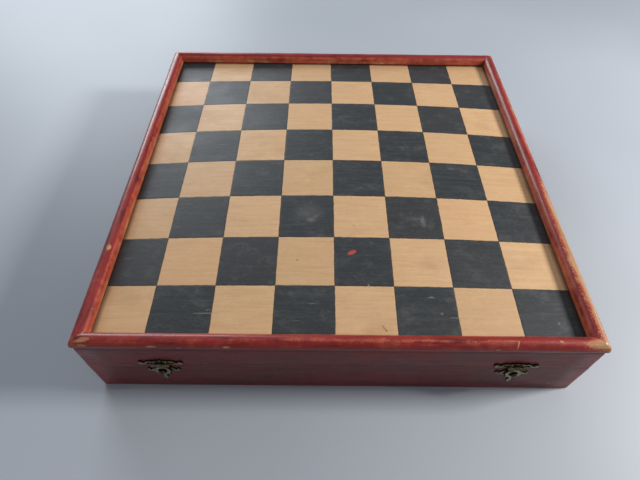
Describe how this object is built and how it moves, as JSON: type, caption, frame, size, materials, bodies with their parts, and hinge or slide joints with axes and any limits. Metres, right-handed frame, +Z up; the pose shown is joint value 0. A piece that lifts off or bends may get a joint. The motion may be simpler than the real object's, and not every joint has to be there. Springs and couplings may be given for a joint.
{
  "type": "chess set with board",
  "caption": "Chess set in its own hinged wooden case: the lid's top is the framed chequered board, two brass catches hold it shut, and the men lie inside.",
  "frame": {"origin": "middle of the case's footprint at the level it stands on", "axes": "+X to the right along the front, +Y to the back where the hinges are, +Z up; the catches are on the -Y side"},
  "size_m": [0.331, 0.3396, 0.066],
  "materials": {
    "red_wood": "red-stained hardwood, old worn satin varnish",
    "bare_wood": "unfinished pale wood",
    "board_wood": "light and grey-black squares in worn satin varnish",
    "old_brass": "tarnished stamped brass",
    "boxwood": "turned boxwood, polished",
    "ebonised_wood": "turned and ebonised wood, polished"
  },
  "bodies": {
    "box": {"base_front": "red_wood", "base_right": "red_wood", "base_back": "red_wood", "base_left": "red_wood", "base_bottom": "bare_wood", "divider": "bare_wood", "hinge_leaf_base_left": "old_brass", "hinge_pin_left": "old_brass", "stud_plate_left": "old_brass", "stud_left": "old_brass", "hinge_leaf_base_right": "old_brass", "hinge_pin_right": "old_brass", "stud_plate_right": "old_brass", "stud_right": "old_brass", "white_rook_1": "boxwood", "white_rook_2": "boxwood", "white_knight_1": "boxwood", "white_knight_2": "boxwood", "white_bishop_1": "boxwood", "white_bishop_2": "boxwood", "white_queen": "boxwood", "white_king": "boxwood", "white_pawn_1": "boxwood", "white_pawn_2": "boxwood", "white_pawn_3": "boxwood", "white_pawn_4": "boxwood", "white_pawn_5": "boxwood", "white_pawn_6": "boxwood", "white_pawn_7": "boxwood", "white_pawn_8": "boxwood", "black_rook_1": "ebonised_wood", "black_rook_2": "ebonised_wood", "black_knight_1": "ebonised_wood", "black_knight_2": "ebonised_wood", "black_bishop_1": "ebonised_wood", "black_bishop_2": "ebonised_wood", "black_queen": "ebonised_wood", "black_king": "ebonised_wood", "black_pawn_1": "ebonised_wood", "black_pawn_2": "ebonised_wood", "black_pawn_3": "ebonised_wood", "black_pawn_4": "ebonised_wood", "black_pawn_5": "ebonised_wood", "black_pawn_6": "ebonised_wood", "black_pawn_7": "ebonised_wood", "black_pawn_8": "ebonised_wood"},
    "lid": {"lid_front": "red_wood", "lid_right": "red_wood", "lid_back": "red_wood", "lid_left": "red_wood", "playing_board": "board_wood", "hinge_leaf_lid_left": "old_brass", "catch_plate_left": "old_brass", "hasp_pin_left": "old_brass", "hinge_leaf_lid_right": "old_brass", "catch_plate_right": "old_brass", "hasp_pin_right": "old_brass"},
    "hasp_left": {"hasp_left": "old_brass"},
    "hasp_right": {"hasp_right": "old_brass"}
  },
  "joints": [
    {"name": "lid_hinge", "type": "hinge", "parent": "box", "child": "lid", "pos_m": [0, 0.1674, 0.03615], "axis": [-1, 0, 0], "range_deg": [0, 180]},
    {"name": "hasp_left_swing", "type": "hinge", "parent": "lid", "child": "hasp_left", "pos_m": [-0.115, -0.1667, 0.0386], "axis": [-1, 0, 0], "range_deg": [0, 170]},
    {"name": "hasp_right_swing", "type": "hinge", "parent": "lid", "child": "hasp_right", "pos_m": [0.115, -0.1667, 0.0386], "axis": [-1, 0, 0], "range_deg": [0, 170]}
  ]
}
